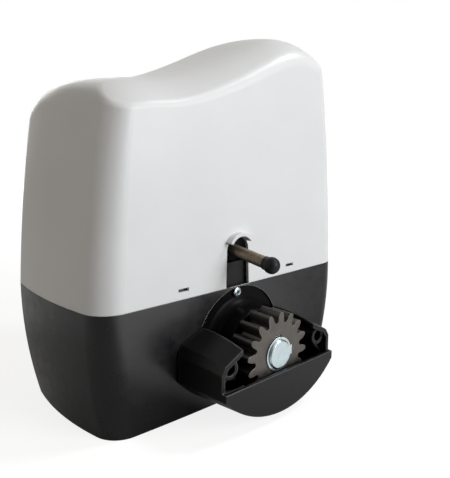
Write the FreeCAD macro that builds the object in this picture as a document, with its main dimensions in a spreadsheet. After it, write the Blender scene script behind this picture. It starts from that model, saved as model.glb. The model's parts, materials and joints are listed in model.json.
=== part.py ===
import FreeCAD, Part
import math
import os
import Sketcher

# Sliding gate motor: moulded base, wave-shaped cover, rack pinion on its output
# shaft, gear guard, sprung limit-switch lever, and the drive and electrics inside.
# Origin: centre of the foot pattern on the underside. +Z up, pinion towards -Y.

os.makedirs("parts", exist_ok=True)
doc = FreeCAD.newDocument("SlidingGateMotor")
vector = FreeCAD.Vector

# ------------------------------------------------------------------ dimensions
SIZES = {
    # housing plan: half sizes, and the radii of its bowed sides and corners
    "housing_shift": 1.75,
    "floor_half_width": 137.75, "waist_half_width": 145.75, "seam_half_width": 148.25,
    "floor_half_depth": 76, "waist_half_depth": 79, "seam_half_depth": 80,
    "side_bow": 370, "floor_side_bow": 280, "front_bow": 5900, "floor_front_bow": 1700,
    "corner": 24, "seam_height": 106, "base_wall": 4.4, "base_floor": 5, "lip_height": 7,
    "lip_gap": 3.8, "lip_wall": 2.2,
    # cover above the seam: half widths at equal steps of height
    "cover_wall": 3, "cover_step": 80, "cover_lean": 1, "cover_width_one": 142,
    "cover_width_two": 131, "cover_width_three": 115, "cover_depth_one": 79.7, "cover_depth_two": 79.2,
    "cover_depth_three": 78.5, "cover_corner_one": 22, "cover_corner_two": 19,
    "cover_corner_three": 17, "skin_top": 3, "wave_reach": 170, "wave_start": 190,
    "crown_rise": 26, "crown_flat": 40, "crown_radius": 250, "crown_shoulder": 67,
    "crease": 8, "left_crease": 23, "right_crease": 20,
    # slot, hood and clip windows in the cover
    "slot_place": -3, "slot_half": 12.7, "slot_foot_half": 13.9, "slot_arch_height": 138.5,
    "hood_outer": 16, "hood_inner": 12.9, "hood_reach": 6, "window_place": 65,
    "window_width": 10.5, "window_tall": 2.8, "window_height": 112.2,
    # gear axis and pinion
    "axis_height": 56, "pinion_front": -127, "pinion_width": 22.8, "pinion_module": 4,
    "pinion_teeth": 16, "pinion_phase": 16, "shaft_radius": 12.5, "key_width": 8,
    "key_stand": 3.3, "shaft_end": -130, "washer_radius": 14.6,
    # bearing flange
    "flange_radius": 48.7, "flange_recess": 2, "hub_radius": 31.5, "hub_front": -100,
    "bearing_radius": 26, "bearing_width": 15, "seal_radius": 20, "seal_width": 7,
    "flange_screw_circle": 44.2, "flange_screw_phase": 94,
    # gear guard
    "guard_back": -80.2, "guard_middle": -101, "guard_front": -134, "wing_front": -129.4,
    "guard_wall": 3, "guard_half_back": 70, "guard_half_middle": 68.3,
    "guard_half_front": 65.5, "channel_half": 43.5, "crescent_top": -13.5,
    "boss_place": 53.9, "boss_height": 1.5, "boss_radius": 7.8, "boss_hole": 4.9,
    # limit-switch lever
    "lever_pivot": -52, "lever_height": 141, "lever_drop": 7.6, "spring_radius": 5.3,
    "spring_length": 51, "tip_radius": 7.2, "tip_reach": 69.5,
    # drive
    "drive_place": 52, "drive_depth": -8, "gearbox_top": 112, "wheel_radius": 39,
    "wheel_width": 18, "stator_radius": 47, "stator_height": 58, "stator_foot": 150,
    # feet
    "foot_span": 212, "foot_depth": 96, "foot_slot": 18, "foot_hole": 4.5,
    "levelling_place": 86,
    # electrics and manual release
    "tray_height": 100, "board_depth": 40, "release_pivot": 72, "release_depth": 72.5,
    "release_height": 56, "release_reach": 89, "release_half": 5.5, "lock_place": -5,
    "lock_radius": 7, "pocket_left": -39, "pocket_right": 84, "pocket_front": 63,
    "pocket_half_tall": 20,
}


class Size:
    """A number of the sheet, or a sum made from them: its value and its formula."""

    def __init__(self, value, text):
        self.value, self.text = float(value), text

    def join(self, other, sign, value):
        return Size(value, "(%s %s %s)" % (self.text, sign, other.text))

    def __add__(self, other):
        other = size(other)
        return self.join(other, "+", self.value + other.value)

    def __sub__(self, other):
        other = size(other)
        return self.join(other, "-", self.value - other.value)

    def __mul__(self, other):
        other = size(other)
        return self.join(other, "*", self.value * other.value)

    def __truediv__(self, other):
        other = size(other)
        return self.join(other, "/", self.value / other.value)

    def __neg__(self):
        return size(0) - self

    def __radd__(self, other):
        return size(other) + self

    def __rsub__(self, other):
        return size(other) - self

    def __rmul__(self, other):
        return size(other) * self


def size(number):
    return number if isinstance(number, Size) else Size(number, repr(float(number)))


sheet = doc.addObject("Spreadsheet::Sheet", "Dimensions")
for row, (alias, number) in enumerate(SIZES.items(), start=1):
    sheet.set("A%d" % row, alias)
    sheet.set("B%d" % row, str(number))
    sheet.setAlias("B%d" % row, alias)
doc.recompute()
d = {alias: Size(number, "Dimensions.%s" % alias) for alias, number in SIZES.items()}


def bind(thing, field, number):
    """Tie a property to the sheet, or set it where it is a plain number."""
    number = size(number)
    thing.setExpression(field, number.text)


def root_of(number):
    return Size(math.sqrt(number.value), "sqrt(%s)" % number.text)


def polar(radius, degrees):
    """Point at a radius and an angle, kept as formulas."""
    radius, degrees = size(radius), size(degrees)
    angle = math.radians(degrees.value)
    across = Size(radius.value * math.cos(angle), "(%s * cos(%s))" % (radius.text, degrees.text))
    up = Size(radius.value * math.sin(angle), "(%s * sin(%s))" % (radius.text, degrees.text))
    return across, up


# --------------------------------------------------------------------- helpers
def body_named(name, place=(0, 0, 0)):
    body = doc.addObject("PartDesign::Body", name)
    for letter, number in zip("xyz", place):
        bind(body, "Placement.Base.%s" % letter, number)
    return body


def sketch_on(body, name, plane, offset=0):
    """Sketch on an origin plane of its body, moved along the plane's normal."""
    sketch = body.newObject("Sketcher::SketchObject", name)
    for item in body.Origin.OriginFeatures:
        if item.Role == plane + "_Plane":
            sketch.AttachmentSupport = (item, [""])
    sketch.MapMode = "FlatFace"
    bind(sketch, "AttachmentOffset.Base.z", offset)
    return sketch


def pin_point(sketch, edge, end, across, up):
    for kind, number in (("DistanceX", across), ("DistanceY", up)):
        number = size(number)
        row = sketch.addConstraint(Sketcher.Constraint(kind, -1, 1, edge, end, number.value))
        sketch.setExpression("Constraints[%d]" % row, number.text)


def fix_radius(sketch, edge, radius):
    radius = size(radius)
    row = sketch.addConstraint(Sketcher.Constraint("Radius", edge, radius.value))
    sketch.setExpression("Constraints[%d]" % row, radius.text)


def crest_of(start, end, radius):
    """Middle point of a short arc; a positive radius bows to the right of the way along it."""
    chord = end - start
    middle = (start + end) * 0.5
    side = vector(-chord.y, chord.x, 0)
    side.normalize()
    rise = math.sqrt(radius ** 2 - (chord.Length / 2) ** 2)
    sign = 1 if radius > 0 else -1
    centre = middle + side * (rise * sign)
    return centre - side * (abs(radius) * sign)


def outline(sketch, points):
    """Closed outline through points (across, up) or (across, up, radius of the next edge)."""
    corners = [(size(p[0]), size(p[1]), size(p[2]) if len(p) > 2 else None) for p in points]
    ends = []
    for index, (across, up, radius) in enumerate(corners):
        following = corners[(index + 1) % len(corners)]
        start = vector(across.value, up.value, 0)
        end = vector(following[0].value, following[1].value, 0)
        if radius is None:
            edge = sketch.addGeometry(Part.LineSegment(start, end))
            ends.append((edge, 1, 2, start))
            continue
        edge = sketch.addGeometry(Part.Arc(start, crest_of(start, end, radius.value), end))
        flipped = radius.value < 0
        ends.append((edge, 2 if flipped else 1, 1 if flipped else 2, start))
    for index, (edge, first, last, start) in enumerate(ends):
        next_edge, next_first = ends[(index + 1) % len(ends)][:2]
        sketch.addConstraint(Sketcher.Constraint("Coincident", edge, last, next_edge, next_first))
    for (edge, first, last, start), (across, up, radius) in zip(ends, corners):
        pin_point(sketch, edge, first, across, up)
    for (edge, first, last, start), (across, up, radius) in zip(ends, corners):
        if radius is not None:
            fix_radius(sketch, edge, Size(abs(radius.value), "abs(%s)" % radius.text))


def circle(sketch, across, up, radius):
    centre = vector(size(across).value, size(up).value, 0)
    edge = sketch.addGeometry(Part.Circle(centre, vector(0, 0, 1), size(radius).value))
    pin_point(sketch, edge, 3, across, up)
    fix_radius(sketch, edge, radius)


def plan_profile(sketch, half_width, half_depth, side_radius, front_radius, corner):
    """Plan of the housing: four bowed sides joined by tangent corner arcs."""
    w, t, s, f, c = [size(n).value for n in (half_width, half_depth, side_radius, front_radius, corner)]
    side_centre, front_centre = w - s, t - f
    reach, height = s - c, f - c
    gap = math.hypot(side_centre, front_centre)
    along = (reach ** 2 - height ** 2 + gap ** 2) / (2 * gap)
    off = math.sqrt(reach ** 2 - along ** 2)
    unit = vector(-side_centre / gap, front_centre / gap, 0)
    base_point = vector(side_centre, 0, 0) + unit * along
    corner_centre = max((base_point + vector(-unit.y, unit.x, 0) * off * k for k in (1, -1)),
                        key=lambda p: p.x + p.y)
    side_angle = math.atan2(corner_centre.y, corner_centre.x - side_centre)
    front_angle = math.atan2(corner_centre.y - front_centre, corner_centre.x)
    pieces = []
    for quarter in range(4):
        bowed_side = quarter % 2 == 0
        radius = s if bowed_side else f
        turn = quarter * math.pi / 2
        offset = side_centre if bowed_side else front_centre
        centre = vector(offset * math.cos(turn), offset * math.sin(turn), 0)
        half_angle = side_angle if bowed_side else math.pi / 2 - front_angle
        pieces.append(("side" if bowed_side else "front", centre, radius,
                       turn - half_angle, turn + half_angle))
        sign_x = 1 if quarter in (0, 3) else -1
        sign_y = 1 if quarter in (0, 1) else -1
        place = vector(corner_centre.x * sign_x, corner_centre.y * sign_y, 0)
        first = turn + (side_angle if bowed_side else math.pi / 2 - front_angle)
        last = turn + math.pi / 2 - (math.pi / 2 - front_angle if bowed_side else side_angle)
        pieces.append(("corner", place, c, first, last))
    edges = []
    for kind, centre, radius, first, last in pieces:
        ring = Part.Circle(centre, vector(0, 0, 1), radius)
        edges.append(sketch.addGeometry(Part.ArcOfCircle(ring, first, last)))
    for index, edge in enumerate(edges):
        sketch.addConstraint(Sketcher.Constraint("Tangent", edge, 2, edges[(index + 1) % 8], 1))
    pin_point(sketch, edges[0], 3, half_width - side_radius, 0)
    pin_point(sketch, edges[2], 3, 0, half_depth - front_radius)
    pin_point(sketch, edges[4], 3, side_radius - half_width, 0)
    pin_point(sketch, edges[6], 3, 0, front_radius - half_depth)
    for edge, (kind, centre, radius, first, last) in zip(edges, pieces):
        fix_radius(sketch, edge, {"side": side_radius, "front": front_radius, "corner": corner}[kind])


def pad(body, name, sketch, length, reverse=False, both=False):
    feature = body.newObject("PartDesign::Pad", name)
    feature.Profile = sketch
    bind(feature, "Length", length)
    feature.Reversed = reverse
    feature.Midplane = both
    sketch.Visibility = False
    return feature


def pocket(body, name, sketch, depth=None, reverse=False):
    feature = body.newObject("PartDesign::Pocket", name)
    feature.Profile = sketch
    feature.Reversed = reverse
    if depth is None:
        feature.Type = "ThroughAll"
    else:
        bind(feature, "Length", depth)
    sketch.Visibility = False
    return feature


def loft(body, name, sketches, ruled=False):
    feature = body.newObject("PartDesign::AdditiveLoft", name)
    feature.Profile = sketches[0]
    feature.Sections = sketches[1:]
    feature.Ruled = ruled
    return feature


def revolve(body, name, sketch, axis="V_Axis", cut=False):
    feature = body.newObject("PartDesign::Groove" if cut else "PartDesign::Revolution", name)
    feature.Profile = sketch
    feature.ReferenceAxis = (sketch, [axis])
    feature.Angle = 360
    return feature


def turned(name, label, points, axis_plane="XY", place=(0, 0, 0)):
    """Turned piece: its profile is drawn beside the sketch's upright axis."""
    body = body_named(name, place)
    sketch = sketch_on(body, name + "_profile", axis_plane)
    outline(sketch, points)
    revolve(body, name + "_turn", sketch)
    body.Label = label
    return body


def pattern(body, name, features, axis, count):
    feature = body.newObject("PartDesign::PolarPattern", name)
    feature.Originals = features
    feature.Axis = axis
    feature.Angle = 360
    bind(feature, "Occurrences", count)
    body.Tip = feature
    return feature


def box(name, low, high):
    """Block between two corners."""
    block = doc.addObject("Part::Box", name)
    for field, first, last in zip(("Length", "Width", "Height"), low, high):
        bind(block, field, size(last) - size(first))
    for letter, number in zip("xyz", low):
        bind(block, "Placement.Base.%s" % letter, number)
    return block


def cylinder(name, radius, start, length, direction="Z"):
    """Rod from a start point along +X, +Y or +Z."""
    rod = doc.addObject("Part::Cylinder", name)
    bind(rod, "Radius", radius)
    bind(rod, "Height", length)
    turn = {"X": ((0, 1, 0), 90), "Y": ((1, 0, 0), -90), "Z": ((0, 0, 1), 0)}[direction]
    rod.Placement = FreeCAD.Placement(vector(0, 0, 0), FreeCAD.Rotation(vector(*turn[0]), turn[1]))
    for letter, number in zip("xyz", start):
        bind(rod, "Placement.Base.%s" % letter, number)
    return rod


def fuse(name, shapes):
    joined = doc.addObject("Part::MultiFuse", name)
    joined.Shapes = shapes
    joined.Refine = True
    return joined


def cut(name, solid, tool):
    result = doc.addObject("Part::Cut", name)
    result.Base = solid
    result.Tool = tool
    result.Refine = True
    return result


def group(name, shapes):
    together = doc.addObject("Part::Compound", name)
    together.Links = shapes
    return together


# ---------------------------------------------------------------- housing forms
axis_height = d["axis_height"]


def base_form(name, inset, low, ruled=False):
    """Solid of the base's outer form, drawn in by the wall where it is the inside."""
    body = body_named(name, (d["housing_shift"], 0, 0))
    levels = [
        (low, d["floor_half_width"], d["floor_half_depth"], d["floor_side_bow"], d["floor_front_bow"]),
        (d["seam_height"] / 2, d["waist_half_width"], d["waist_half_depth"], d["side_bow"],
         d["front_bow"]),
        (d["seam_height"], d["seam_half_width"], d["seam_half_depth"], d["side_bow"], d["front_bow"]),
    ]
    sketches = []
    for index, (height, width, depth, side, front) in enumerate(levels):
        sketch = sketch_on(body, "%s_plan_%d" % (name, index), "XY", height)
        plan_profile(sketch, width - inset, depth - inset, side - inset, front - inset,
                     d["corner"] - inset)
        sketches.append(sketch)
    loft(body, name + "_loft", sketches, ruled)
    return body


def cover_form(name, inset, low, top_drop, ruled=False):
    """Solid of the cover: leaning walls, cut off by the wave-shaped crowned top."""
    body = body_named(name, (d["housing_shift"], 0, 0))
    step = d["cover_step"]
    levels = [
        (low, d["seam_half_width"], d["seam_half_depth"], d["corner"]),
        (d["seam_height"] + step, d["cover_width_one"], d["cover_depth_one"], d["cover_corner_one"]),
        (d["seam_height"] + step * 2, d["cover_width_two"], d["cover_depth_two"],
         d["cover_corner_two"]),
        (d["seam_height"] + step * 3, d["cover_width_three"], d["cover_depth_three"],
         d["cover_corner_three"]),
    ]
    sketches = []
    for index, (height, width, depth, corner) in enumerate(levels):
        sketch = sketch_on(body, "%s_plan_%d" % (name, index), "XY", height)
        plan_profile(sketch, width - inset, depth - inset, d["side_bow"] - inset,
                     d["front_bow"] - inset, corner - inset)
        bind(sketch, "AttachmentOffset.Base.x", d["cover_lean"] * index)
        sketches.append(sketch)
    loft(body, name + "_loft", sketches, ruled)
    # The wave: control points of one smooth curve, as (across, height above the floor).
    wave = [(-d["wave_reach"], d["wave_start"]), (-150, 226), (-128, 252), (-100, 261), (-66, 261),
            (-33, 270), (0, 282), (33, 296), (62, 308.5), (88, 311), (112, 303), (140, 284),
            (d["wave_reach"], 258)]
    wave = [(size(across), size(height) - top_drop) for across, height in wave]
    path = sketch_on(body, name + "_wave", "XZ")
    poles = [vector(across.value, height.value, 0) for across, height in wave]
    curve = path.addGeometry(Part.BSplineCurve(poles, None, None, False, 3, None, False))
    for index, (across, height) in enumerate(wave):
        marker = path.addGeometry(Part.Circle(poles[index], vector(0, 0, 1), 2), True)
        path.addConstraint(Sketcher.Constraint("InternalAlignment:Sketcher::BSplineControlPoint",
                                               marker, 3, curve, index))
        pin_point(path, marker, 3, across, height)
    # The crown: nearly flat along the middle, with a round shoulder down to either
    # wall. It is swept along the wave, and all above it is cut away.
    reach, flat, above = d["seam_half_depth"] + 8, d["crown_flat"], d["wave_start"] + 200
    radius, shoulder = d["crown_radius"], d["crown_shoulder"]
    start = d["wave_start"] - top_drop
    flat_end = start + d["crown_rise"] - radius + root_of(radius * radius - flat * flat)
    turn = reach - flat + flat * shoulder / radius
    foot = (flat_end - shoulder * root_of(1 - flat * flat / (radius * radius))
            + root_of(shoulder * shoulder - turn * turn))
    crown = sketch_on(body, name + "_crown", "YZ", -d["wave_reach"])
    outline(crown, [(-reach, foot), (-reach, above), (reach, above), (reach, foot, shoulder),
                    (flat, flat_end, radius), (-flat, flat_end, shoulder)])
    sweep = body.newObject("PartDesign::SubtractivePipe", name + "_top")
    sweep.Profile = crown
    sweep.Spine = (path, [])
    sweep.Mode = "Fixed"
    doc.recompute()
    return body


def round_top(name, solid, inset):
    """Round the rim of the cover's top, tightly at front and back and widely at the sides."""
    doc.recompute()
    bend = (d["cover_depth_three"] - d["cover_corner_three"] / 2).value

    def radius_at(vertex):
        if abs(vertex.Y) > bend:
            return d["crease"].value
        return (d["left_crease" if vertex.X < 0 else "right_crease"] - inset).value

    rounded = doc.addObject("Part::Fillet", name)
    rounded.Base = solid
    rim = d["seam_height"].value + 90
    rounded.Edges = [(i, radius_at(edge.firstVertex(True)), radius_at(edge.lastVertex(True)))
                     for i, edge in enumerate(solid.Shape.Edges, start=1) if edge.BoundBox.ZMin > rim]
    return rounded


def make_cover():
    """Pale shell: wave top, slot for the lever, hood over the slot, two clip windows."""
    low = d["seam_height"]
    outer = cover_form("cover_outer", size(0), low, size(0))
    creased = round_top("cover_creased", outer, size(0))
    inner = cover_form("cover_inner", d["cover_wall"], low - 1, d["skin_top"])
    hollow = round_top("cover_hollow", inner, d["cover_wall"])
    shell = cut("cover_shell", creased, hollow)
    slot = body_named("cover_slot")
    sketch = sketch_on(slot, "slot_outline", "XZ", d["seam_half_depth"] - 10)
    left, right = d["slot_place"] - d["slot_half"], d["slot_place"] + d["slot_half"]
    foot_left, foot_right = d["slot_place"] - d["slot_foot_half"], d["slot_place"] + d["slot_foot_half"]
    crown_of_arch = d["slot_arch_height"] + d["slot_half"]
    arch = d["slot_half"] * 1.0001
    outline(sketch, [(foot_left, low - 2), (foot_right, low - 2), (right, d["slot_arch_height"], arch),
                     (d["slot_place"], crown_of_arch, arch), (left, d["slot_arch_height"])])
    pad(slot, "slot_block", sketch, 14)
    windows = []
    for side, sign in (("left", -1), ("right", 1)):
        middle = d["housing_shift"] + d["window_place"] * sign
        windows.append(box("cover_window_" + side,
                           (middle - d["window_width"] / 2, -d["seam_half_depth"] - 3,
                            d["window_height"]),
                           (middle + d["window_width"] / 2, -d["seam_half_depth"] + 10,
                            d["window_height"] + d["window_tall"])))
    open_shell = cut("cover_open", shell, fuse("cover_openings", [slot] + windows))
    hood = body_named("cover_hood")
    sketch = sketch_on(hood, "hood_outline", "XZ", d["seam_half_depth"] - 2.6)
    place, height = d["slot_place"], d["slot_arch_height"]
    points = []
    for radius, first, last in ((d["hood_outer"], 35, 148), (d["hood_inner"], 148, 35)):
        for degrees in (first, last):
            across, up = polar(radius, degrees)
            points.append([place + across, height + up])
    points[0].append(d["hood_outer"])
    points[2].append(-d["hood_inner"])
    outline(sketch, points)
    pad(hood, "hood_lip", sketch, d["hood_reach"] + 2.6)
    cover = fuse("cover", [open_shell, hood])
    cover.Label = "cover"
    return cover


# ----------------------------------------------------------------------- base
def make_base():
    """Black housing: hollow, with a floor, a lip for the cover, feet and clips."""
    wall, lip = d["base_wall"], d["lip_gap"]
    outer = base_form("base_outer", size(0), size(0))
    inner = base_form("base_inner", wall, d["base_floor"], ruled=True)
    shell = cut("base_shell", outer, inner)
    ring = body_named("base_lip", (d["housing_shift"], 0, 0))
    sketch = sketch_on(ring, "lip_plan", "XY", d["seam_height"] - 8)
    for inset in (lip, lip + d["lip_wall"]):
        plan_profile(sketch, d["seam_half_width"] - inset, d["seam_half_depth"] - inset,
                     d["side_bow"] - inset, d["front_bow"] - inset, d["corner"] - inset)
    pad(ring, "lip_ring", sketch, d["lip_height"] + 8)
    added = [shell, ring]
    front_wall = -d["seam_half_depth"] + lip
    for sign in (-1, 1):
        middle = d["housing_shift"] + d["window_place"] * sign
        added.append(box("base_clip_%d" % (sign + 1),
                         (middle - 9, front_wall + 0.5, d["seam_height"] - 6),
                         (middle + 9, front_wall + 2.6, d["window_height"] + d["window_tall"] + 3)))
    slots = []
    for number in range(4):
        side = 1 if number in (0, 3) else -1
        across, depth = d["foot_span"] / 2 * side, d["foot_depth"] / 2 * (1 if number < 2 else -1)
        inner, outer_end = d["levelling_place"] - 6, d["foot_span"] / 2 + 16
        ends = sorted((inner * side, outer_end * side), key=lambda end: end.value)
        added.append(box("foot_%d" % number, (ends[0], depth - 13, 0), (ends[1], depth + 13, 14)))
        slot = body_named("foot_slot_%d" % number)
        sketch = sketch_on(slot, "foot_slot_plan_%d" % number, "XY", -1)
        straight, round_end = d["foot_slot"] / 2 - d["foot_hole"], d["foot_hole"] * 1.0001
        outline(sketch, [(across - straight, depth - d["foot_hole"]),
                         (across + straight, depth - d["foot_hole"], round_end),
                         (across + straight, depth + d["foot_hole"]),
                         (across - straight, depth + d["foot_hole"], round_end)])
        pad(slot, "foot_slot_cut_%d" % number, sketch, 20)
        slots += [slot, cylinder("levelling_hole_%d" % number, 4.02,
                                 (d["levelling_place"] * side, depth, -1), 20)]
    rear, front = d["release_height"], -d["seam_half_depth"]
    half_tall = d["pocket_half_tall"] + 0.05
    tools = slots + [
        cylinder("base_flange_seat", d["flange_radius"] + 0.3, (0, front - 5, axis_height), 20, "Y"),
        cylinder("base_cable_hole", 14, (-95, 0, -1), d["base_floor"] + 2),
        box("base_pocket_window", (d["pocket_left"] - 0.05, d["pocket_front"] - 4, rear - half_tall),
            (d["pocket_right"] + 0.05, 90, rear + half_tall)),
        box("base_tower_gap", (d["slot_place"] - 14.4, front + 2.9, d["seam_height"] - 4),
            (d["slot_place"] + 14.4, front + 14, d["seam_height"] + 12)),
    ]
    for sign in (-1, 1):
        tools.append(cylinder("base_screw_hole_%d" % (sign + 1), 2.8,
                              (d["boss_place"] * sign, front - 2, axis_height + d["boss_height"]),
                              12, "Y"))
    base = cut("base_housing", fuse("base_solid", added), fuse("base_openings", tools))
    base.Label = "base_housing"
    return base


# ------------------------------------------------------------------ gear guard
def guard_section(sketch, inset, half, shoulder, bottom, tip_height):
    """Half-moon bottom, upright sides and sloping wing roofs, drawn about the gear axis."""
    side_foot = -20 + inset * 0.4
    sag = side_foot - bottom - inset
    bottom_radius = ((half - inset) * (half - inset) + sag * sag) / (sag * 2)
    shoulder_across, shoulder_height = half - shoulder[0], shoulder[1]
    tip = d["channel_half"] - 4
    slope = inset * 0.62
    outline(sketch, [
        (-(half - inset), side_foot, bottom_radius), (half - inset, side_foot),
        (half - inset, size(shoulder[2]) - slope),
        (shoulder_across - inset * 0.9, size(shoulder_height) - inset * 0.8),
        (tip, size(tip_height) - inset * 1.06), (-tip, size(tip_height) - inset * 1.06),
        (-(shoulder_across - inset * 0.9), size(shoulder_height) - inset * 0.8),
        (-(half - inset), size(shoulder[2]) - slope)])


def guard_form(name, inset, last):
    body = body_named(name, (0, 0, axis_height))
    stations = [
        (d["guard_back"], d["guard_half_back"], (4.0, 11.3, 4.8), -53, 22.8),
        (d["guard_middle"], d["guard_half_middle"], (4.2, 10.2, 3.2), -51.3, 23.0),
        (last, d["guard_half_front"], (3.9, 6.2, 0.2), -48.5, 16.8),
    ]
    sketches = []
    for index, (depth, half, shoulder, bottom, tip_height) in enumerate(stations):
        sketch = sketch_on(body, "%s_station_%d" % (name, index), "XZ", -depth)
        guard_section(sketch, inset, half, shoulder, bottom, tip_height)
        sketches.append(sketch)
    loft(body, name + "_loft", sketches)
    return body


def make_guard():
    """Tub round the pinion: open channel between two hollow wings, crescent front."""
    outer = guard_form("guard_outer", size(0), d["guard_front"])
    inner = guard_form("guard_inner", d["guard_wall"], d["guard_front"] + d["guard_wall"])
    shell = cut("guard_shell", outer, inner)
    front, back = d["guard_front"] - 4, d["guard_back"] + 4
    channel = d["channel_half"]
    top = axis_height + 30
    trims = [
        box("guard_channel", (-channel, front, axis_height + d["crescent_top"]), (channel, back, top)),
        box("guard_wing_trim", (-80, front, axis_height + d["crescent_top"]),
            (80, d["wing_front"], top)),
    ]
    trimmed = cut("guard_trimmed", shell, fuse("guard_trims", trims))
    added, holes = [trimmed], []
    for sign in (-1, 1):
        across, height = d["boss_place"] * sign, axis_height + d["boss_height"]
        start = d["guard_back"] - 46
        added.append(cylinder("guard_boss_%d" % (sign + 1), d["boss_radius"],
                              (across, start, height), -start + d["guard_back"], "Y"))
        rib = body_named("guard_rib_%d" % (sign + 1), (0, 0, axis_height))
        sketch = sketch_on(rib, "guard_rib_outline_%d" % (sign + 1), "XZ", -d["guard_back"])
        near, far = d["boss_place"] + 5, d["guard_half_front"] - 2
        points = [(near * sign, d["boss_height"] - 1.5), (far * sign, d["boss_height"] - 3),
                  (far * sign, d["boss_height"] - 0.4), (near * sign, d["boss_height"] + 1.5)]
        outline(sketch, points if sign > 0 else points[::-1])
        pad(rib, "guard_rib_web_%d" % (sign + 1), sketch, 44)
        strut = body_named("guard_strut_%d" % (sign + 1), (0, 0, axis_height))
        sketch = sketch_on(strut, "guard_strut_outline_%d" % (sign + 1), "XZ", -d["guard_back"])
        points = [((d["boss_place"] - 4) * sign, d["boss_height"] - 5.5),
                  ((d["guard_half_front"] - 1.6) * sign, -18), ((d["guard_half_front"] - 1.6) * sign, -15),
                  ((d["boss_place"] - 1) * sign, d["boss_height"] - 5.5)]
        outline(sketch, points if sign > 0 else points[::-1])
        pad(strut, "guard_strut_web_%d" % (sign + 1), sketch, 42)
        added += [rib, strut]
        holes.append(cylinder("guard_bore_%d" % (sign + 1), d["boss_hole"],
                              (across, start - 1, height), 33, "Y"))
        holes.append(cylinder("guard_screw_way_%d" % (sign + 1), 2.6,
                              (across, start - 1, height), 60, "Y"))
    guard = cut("gear_guard", fuse("guard_solid", added), fuse("guard_holes", holes))
    guard.Label = "gear_guard"
    return guard


def make_guard_screws():
    """Two long pan-head screws, deep in the guard's bosses."""
    screws = []
    for sign in (-1, 1):
        across, height = d["boss_place"] * sign, axis_height + d["boss_height"]
        head_back = d["guard_back"] - 14
        shank = cylinder("guard_shank_%d" % (sign + 1), 2.4, (across, head_back - 1, height), 24, "Y")
        head = cylinder("guard_head_%d" % (sign + 1), 4.3, (across, head_back - 3.6, height), 3.5, "Y")
        screws.append(fuse("guard_screw_%d" % (sign + 1), [shank, head]))
    together = group("guard_screws", screws)
    together.Label = "guard_screws"
    return together


# -------------------------------------------------------------- output, pinion
def make_flange():
    """Bearing flange: recessed rim that swells into the bearing hub."""
    rim = -d["seam_half_depth"] + d["flange_recess"]
    back = -d["seam_half_depth"] + 6
    hub, front = d["hub_radius"], d["hub_front"]
    seal_back, bearing_front = front + d["seal_width"], back - d["bearing_width"]
    through = d["shaft_radius"] + 1.5
    flange = turned("flange", "bearing_flange_blank", [
        (d["seal_radius"], front), (hub - 1.5, front), (hub, front + 1.5),
        (hub + 0.8, rim - 11, -12.5), (hub + 8, rim), (d["flange_radius"], rim),
        (d["flange_radius"], back), (d["bearing_radius"], back), (d["bearing_radius"], bearing_front),
        (through, bearing_front), (through, seal_back), (d["seal_radius"], seal_back)],
        place=(0, 0, axis_height))
    holes = []
    for number in range(3):
        across, up = polar(d["flange_screw_circle"], d["flange_screw_phase"] + 120 * number)
        holes.append(cylinder("flange_hole_%d" % number, 2.2, (across, rim - 2, axis_height + up), 12, "Y"))
    flange = cut("bearing_flange", flange, fuse("flange_holes", holes))
    flange.Label = "bearing_flange"
    screws = []
    for number in range(3):
        across, up = polar(d["flange_screw_circle"], d["flange_screw_phase"] + 120 * number)
        height = axis_height + up
        shank = cylinder("flange_shank_%d" % number, 2, (across, rim - 0.5, height), 10, "Y")
        head = cylinder("flange_head_%d" % number, 4.4, (across, rim - 2.9, height), 2.8, "Y")
        screws.append(fuse("flange_screw_%d" % number, [shank, head]))
    together = group("flange_screws", screws)
    together.Label = "flange_screws"
    seal = turned("seal", "oil_seal", [
        (d["shaft_radius"] + 0.05, front + 1), (d["seal_radius"] - 0.1, front + 0.4),
        (d["seal_radius"] - 0.1, seal_back - 0.2), (d["shaft_radius"] + 3, seal_back - 0.2),
        (d["shaft_radius"] + 3, front + 3), (d["shaft_radius"] + 0.05, front + 3)],
        place=(0, 0, axis_height))
    bearing_back = back - 0.2
    bearings = [turned("bearing_front", "bearing_front", [
        (d["shaft_radius"], bearing_front + 0.2), (d["bearing_radius"] - 0.05, bearing_front + 0.2),
        (d["bearing_radius"] - 0.05, bearing_back), (d["shaft_radius"], bearing_back)],
        place=(0, 0, axis_height))]
    return [flange, together, seal] + bearings


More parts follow.
